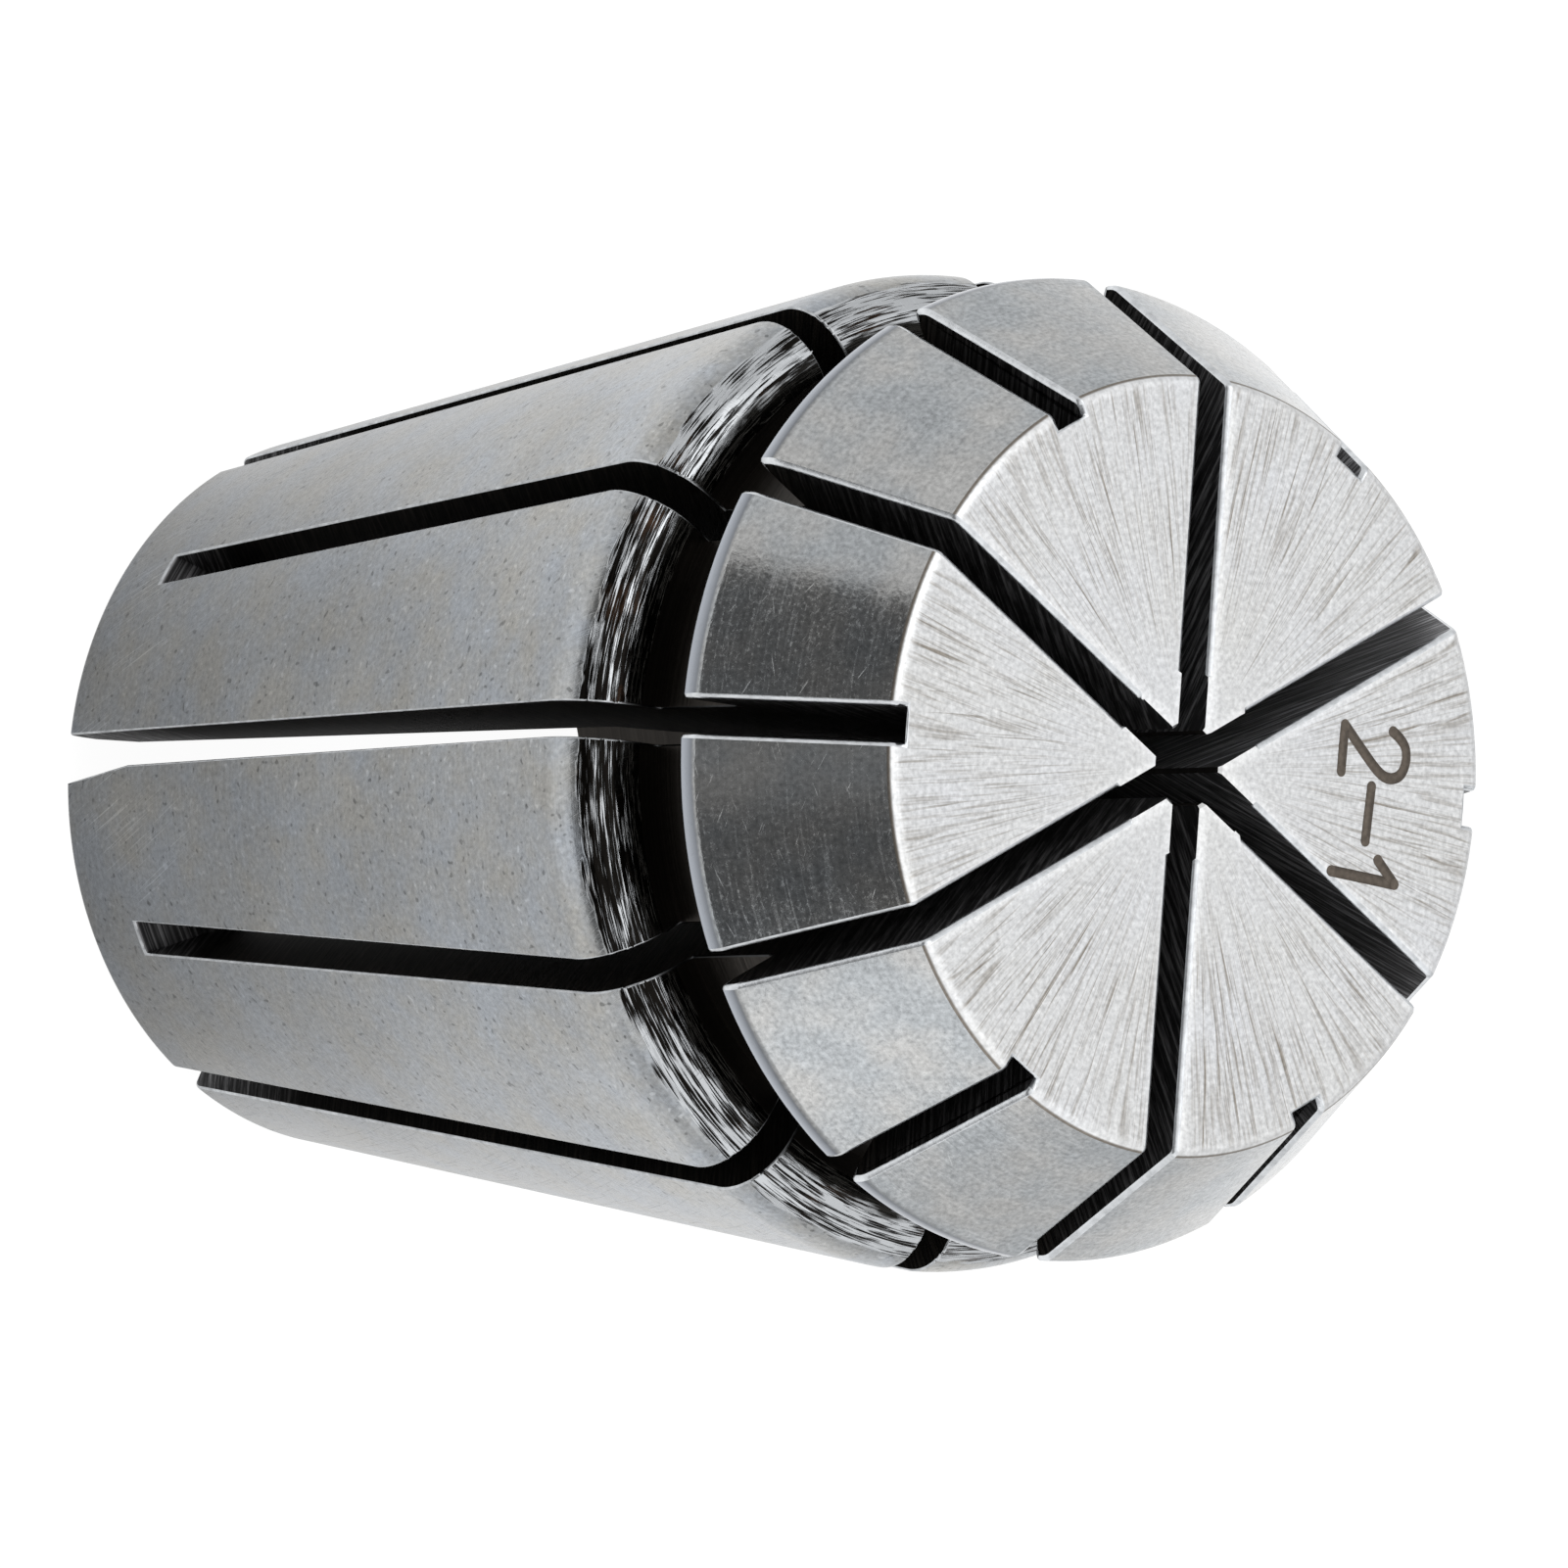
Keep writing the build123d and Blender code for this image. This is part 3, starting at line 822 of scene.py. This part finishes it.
# The size in plain numbers, as strokes on the front face with x and y in mm, each read towards +Y
marking = {
    "strokeWidth": 0.29,
    "strokeHeight": 0.012,
    "strokeStep": 0.001,
    "strokes": [
        [(-6.87, -1.27), (-7.27, -1.04), (-7.38, -0.6), (-7.2, -0.16),
         (-6.8, -0.04), (-6.42, -0.18), (-5.8, -0.78), (-5.23, -1.35)],
        [(-5.23, -1.33), (-5.19, -0.95), (-5.14, -0.17)],
        [(-6.19, 0.17), (-6.11, 0.86), (-6.03, 1.56)],
        [(-4.9, 2.38), (-6.0, 2.49), (-7.06, 2.61)],
        [(-7.06, 2.61), (-6.77, 2.32), (-6.48, 2.03)],
    ],
}


def strokeTree():
    # a flat ribbon along each stroke, with rounded ends
    tree = bpy.data.node_groups.new("etchedStrokes", "GeometryNodeTree")
    sockets = tree.interface
    sockets.new_socket("Strokes", in_out="INPUT", socket_type="NodeSocketGeometry")
    sockets.new_socket("Stroke Width", in_out="INPUT", socket_type="NodeSocketFloat")
    sockets.new_socket("Stroke Height", in_out="INPUT", socket_type="NodeSocketFloat")
    sockets.new_socket("Etch", in_out="INPUT", socket_type="NodeSocketMaterial")
    sockets.new_socket("Marking", in_out="OUTPUT", socket_type="NodeSocketGeometry")
    into = addNode(tree, "NodeGroupInput").outputs
    level = addNode(tree, "GeometryNodeSetCurveNormal", {"Curve": into["Strokes"]}, mode="Z_UP")
    profile = addNode(tree, "GeometryNodeCurvePrimitiveQuadrilateral", {
        "Width": into["Stroke Width"], "Height": into["Stroke Height"]})
    ribbon = addNode(tree, "GeometryNodeCurveToMesh", {"Curve": level, "Profile Curve": profile, "Fill Caps": True})
    half = addNode(tree, "ShaderNodeMath", {0: into["Stroke Width"], 1: 0.5}, operation="MULTIPLY")
    discHeight = addNode(tree, "ShaderNodeMath", {0: into["Stroke Height"], 1: 1.3}, operation="MULTIPLY")
    disc = addNode(tree, "GeometryNodeMeshCylinder", {
        "Vertices": 24, "Radius": half, "Depth": discHeight}, fill_type="NGON")
    ends = addNode(tree, "GeometryNodeCurveEndpointSelection")
    # where two strokes meet, one of their ends is a little higher, so that the surfaces don't coincide
    index = addNode(tree, "GeometryNodeInputIndex")
    odd = addNode(tree, "ShaderNodeMath", {0: index, 1: 2.0}, operation="MODULO")
    step = addNode(tree, "ShaderNodeMath", {0: odd, 1: 0.3, 2: 1.0}, operation="MULTIPLY_ADD")
    stepped = addNode(tree, "ShaderNodeCombineXYZ", {"X": 1.0, "Y": 1.0, "Z": step})
    rounds = addNode(tree, "GeometryNodeInstanceOnPoints", {
        "Points": level, "Selection": ends, "Instance": disc, "Scale": stepped})
    joined = addNode(tree, "GeometryNodeJoinGeometry", {0: ribbon})
    tree.links.new(rounds.outputs[0], joined.inputs[0])
    whole = addNode(tree, "GeometryNodeRealizeInstances", {"Geometry": joined})
    etched = addNode(tree, "GeometryNodeSetMaterial", {"Geometry": whole, "Material": into["Etch"]})
    addNode(tree, "NodeGroupOutput", {0: etched})
    return tree


curve = bpy.data.curves.new("sizeStrokes", "CURVE")
curve.dimensions = "3D"
curve.resolution_u = 8
for i, stroke in enumerate(marking["strokes"]):
    spline = curve.splines.new("NURBS")
    spline.points.add(len(stroke) - 1)
    for point, (x, y) in zip(spline.points, stroke):
        point.co = (x, y, collet["length"] + i * marking["strokeStep"], 1.0)
    spline.order_u = 3
    spline.use_endpoint_u = True
strokes = newObject("sizeStrokes", curve)
useTree(strokes, strokeTree(), {
    "Stroke Width": marking["strokeWidth"],
    "Stroke Height": marking["strokeHeight"],
    "Etch": bpy.data.materials["laserEtched"],
})
etched = evaluatedMesh(strokes)
bpy.data.objects.remove(strokes)
etched.transform(Matrix.Scale(0.001, 4))
mark = newObject("size_marking", etched)
print("marking made,", len(etched.polygons), "faces")
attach(mark, "root")


# Pale paper under the collet, white to the eye and in its reflections, which keeps the collet's shadow
studio = {
    "floorSize": 1.2,
    "floorDrop": 0.00002,
    "floorGlow": 0.96,
    "frontShade": 0.28,
    "sideShade": 0.28,
    "paper": "#808080",
    "surround": 0.76,
    "roomLight": 0.5,
    "sideWindow": 0.45,
    "darkest": 0.125,
    "lensPale": 0.24,
    "overhead": 1.5,
    "flagBearing": 1.5,
    "flagEdge": (42.5, 39.5),
    "lensEdge": (13, 3),
    "windowBearing": 80,
    "windowEdge": (65, 25),
}
bpy.ops.mesh.primitive_plane_add(size=studio["floorSize"], location=(0, 0, -studio["floorDrop"]))
floor = bpy.context.object
floor.name = "floor"


def seenRays(tree):
    # 1 for what the camera sees, straight or mirrored, and 0 for the light that falls on things
    path = addNode(tree, "ShaderNodeLightPath").outputs
    seen = addNode(tree, "ShaderNodeMath", {0: path["Is Camera Ray"], 1: path["Is Glossy Ray"]}, operation="MAXIMUM")
    return addNode(tree, "ShaderNodeMath", {0: seen, 1: path["Is Transmission Ray"]}, operation="MAXIMUM")


paper, tree = startMaterial("palePaper")
# painted shade, seen only in reflections, darkens the paper a little close in front of the collet and far to its sides
spot = addNode(tree, "ShaderNodeTexCoord").outputs["Object"]
reach = addNode(tree, "ShaderNodeVectorMath", {0: spot}, operation="LENGTH").outputs["Value"]
ahead = addNode(tree, "ShaderNodeSeparateXYZ", {
    0: addNode(tree, "ShaderNodeVectorMath", {0: spot}, operation="NORMALIZE")}).outputs["X"]
ahead = addNode(tree, "ShaderNodeMapRange", {"Value": ahead, "From Min": 0.42, "From Max": 0.9})
near = addNode(tree, "ShaderNodeMapRange", {"Value": reach, "From Min": 0.042, "From Max": 0.02})
shade = addNode(tree, "ShaderNodeMath", {0: ahead, 1: near}, operation="MULTIPLY")
aside = addNode(tree, "ShaderNodeMath", {0: 1.0, 1: ahead}, operation="SUBTRACT")
far = addNode(tree, "ShaderNodeMapRange", {"Value": reach, "From Min": 0.05, "From Max": 0.09})
sideShade = addNode(tree, "ShaderNodeMath", {0: aside, 1: far}, operation="MULTIPLY")
shade = layPatterns(tree, 0.0, [(shade, studio["frontShade"]), (sideShade, studio["sideShade"])])
shade = addNode(tree, "ShaderNodeMath", {
    0: shade, 1: addNode(tree, "ShaderNodeLightPath").outputs["Is Glossy Ray"]}, operation="MULTIPLY")
left = addNode(tree, "ShaderNodeMath", {0: 1.0, 1: shade}, operation="SUBTRACT")
glowing = addNode(tree, "ShaderNodeMath", {0: left, 1: studio["floorGlow"]}, operation="MULTIPLY")
strength = addNode(tree, "ShaderNodeMath", {0: seenRays(tree), 1: glowing}, operation="MULTIPLY")
glow = addNode(tree, "ShaderNodeEmission", {"Color": (1, 1, 1, 1), "Strength": strength})
matt = addNode(tree, "ShaderNodeBsdfDiffuse", {"Color": hexColour(studio["paper"])})
both = addNode(tree, "ShaderNodeAddShader", {0: glow, 1: matt})
addNode(tree, "ShaderNodeOutputMaterial", {"Surface": both})
floor.data.materials.append(paper)


def studioWorld(s):
    # a white room, brighter in a ring overhead and at a window on one side, with a low dark flag and the camera's
    # paler body in front of the collet, all of which its cone mirrors
    world = bpy.data.worlds.new("studio")
    bpy.context.scene.world = world
    world.use_nodes = True
    tree = world.node_tree
    tree.nodes.clear()
    direction = addNode(tree, "ShaderNodeTexCoord").outputs["Generated"]
    part = addNode(tree, "ShaderNodeSeparateXYZ", {0: direction}).outputs
    bearing = addNode(tree, "ShaderNodeMath", {0: part["Y"], 1: part["X"]}, operation="ARCTAN2")
    fromMiddle = addNode(tree, "ShaderNodeMath", {
        0: bearing, 1: math.radians(s["flagBearing"])}, operation="SUBTRACT")
    fromMiddle = addNode(tree, "ShaderNodeMath", {0: fromMiddle}, operation="ABSOLUTE")
    wide = addNode(tree, "ShaderNodeMapRange", {
        "Value": fromMiddle, "From Min": math.radians(s["flagEdge"][0]), "From Max": math.radians(s["flagEdge"][1])})
    low = addNode(tree, "ShaderNodeMapRange", {"Value": part["Z"], "From Min": 0.55, "From Max": 0.42})
    flag = addNode(tree, "ShaderNodeMath", {0: wide, 1: low}, operation="MULTIPLY")
    up = addNode(tree, "ShaderNodeMapRange", {
        "Value": part["Z"], "From Min": 0.45, "From Max": 0.6, "To Min": s["surround"], "To Max": 1.0})
    high = addNode(tree, "ShaderNodeMapRange", {"Value": part["Z"], "From Min": 0.8, "From Max": 0.93})
    crown = addNode(tree, "ShaderNodeMapRange", {"Value": part["Z"], "From Min": 0.985, "From Max": 0.94})
    ring = addNode(tree, "ShaderNodeMath", {0: high, 1: crown}, operation="MULTIPLY")
    top = addNode(tree, "ShaderNodeMapRange", {"Value": ring, "To Min": 1.0, "To Max": s["overhead"]})
    up = addNode(tree, "ShaderNodeMath", {0: up, 1: top}, operation="MULTIPLY")
    fromSide = addNode(tree, "ShaderNodeMath", {
        0: bearing, 1: math.radians(s["windowBearing"])}, operation="SUBTRACT")
    fromSide = addNode(tree, "ShaderNodeMath", {0: fromSide}, operation="ABSOLUTE")
    side = addNode(tree, "ShaderNodeMapRange", {
        "Value": fromSide, "From Min": math.radians(s["windowEdge"][0]), "From Max": math.radians(s["windowEdge"][1])})
    side = addNode(tree, "ShaderNodeMath", {0: side, 1: low}, operation="MULTIPLY")
    up = addNode(tree, "ShaderNodeMath", {0: side, 1: s["sideWindow"], 2: up}, operation="MULTIPLY_ADD")
    lens = addNode(tree, "ShaderNodeMapRange", {
        "Value": fromMiddle, "From Min": math.radians(s["lensEdge"][0]), "From Max": math.radians(s["lensEdge"][1]),
        "To Min": s["darkest"], "To Max": s["lensPale"]})
    path = addNode(tree, "ShaderNodeLightPath").outputs
    white = addNode(tree, "ShaderNodeMix", {0: path["Is Camera Ray"], 2: up, 3: 1.0}, data_type="FLOAT")
    flagSeen = addNode(tree, "ShaderNodeMath", {0: flag, 1: path["Is Glossy Ray"]}, operation="MULTIPLY")
    shown = addNode(tree, "ShaderNodeMix", {0: flagSeen, 2: white, 3: lens}, data_type="FLOAT")
    strength = addNode(tree, "ShaderNodeMix", {0: seenRays(tree), 2: s["roomLight"], 3: shown}, data_type="FLOAT")
    sky = addNode(tree, "ShaderNodeBackground", {"Color": (1, 1, 1, 1), "Strength": strength})
    addNode(tree, "ShaderNodeOutputWorld", {"Surface": sky})


def softbox(name, azimuth, elevation, distance, size, power):
    data = bpy.data.lights.new(name, "AREA")
    data.shape = "DISK"
    data.size = size
    data.energy = power
    lamp = newObject(name, data)
    a, e = math.radians(azimuth), math.radians(elevation)
    away = Vector((math.cos(a) * math.cos(e), math.sin(a) * math.cos(e), math.sin(e)))
    lamp.location = Vector((0, 0, 0.017)) + away * distance
    lamp.rotation_mode = "QUATERNION"
    lamp.rotation_quaternion = away.to_track_quat("Z", "Y")


studioWorld(studio)
softbox("topSoftbox", -70, 58, 0.6, 0.4, 0.3)

# The camera looks down on the front face, turned so that the collet's axis lies level in the picture
view = {
    "place": (0.315786, 0.025114, 0.393498),
    "right": (-0.763758, -0.031721, 0.644723),
    "down": (-0.056996, 0.998205, -0.018406),
    "lens": 436.51,
}
cameraData = bpy.data.cameras.new("camera")
camera = newObject("camera", cameraData)
cameraData.sensor_width = 36
cameraData.lens = view["lens"]
cameraData.clip_start, cameraData.clip_end = 0.01, 10
right, up = Vector(view["right"]), -Vector(view["down"])
camera.matrix_world = Matrix.Translation(view["place"]) @ Matrix((right, up, right.cross(up))).transposed().to_4x4()
bpy.context.scene.camera = camera
bpy.context.scene.view_settings.view_transform = "Standard"
print("studio set")
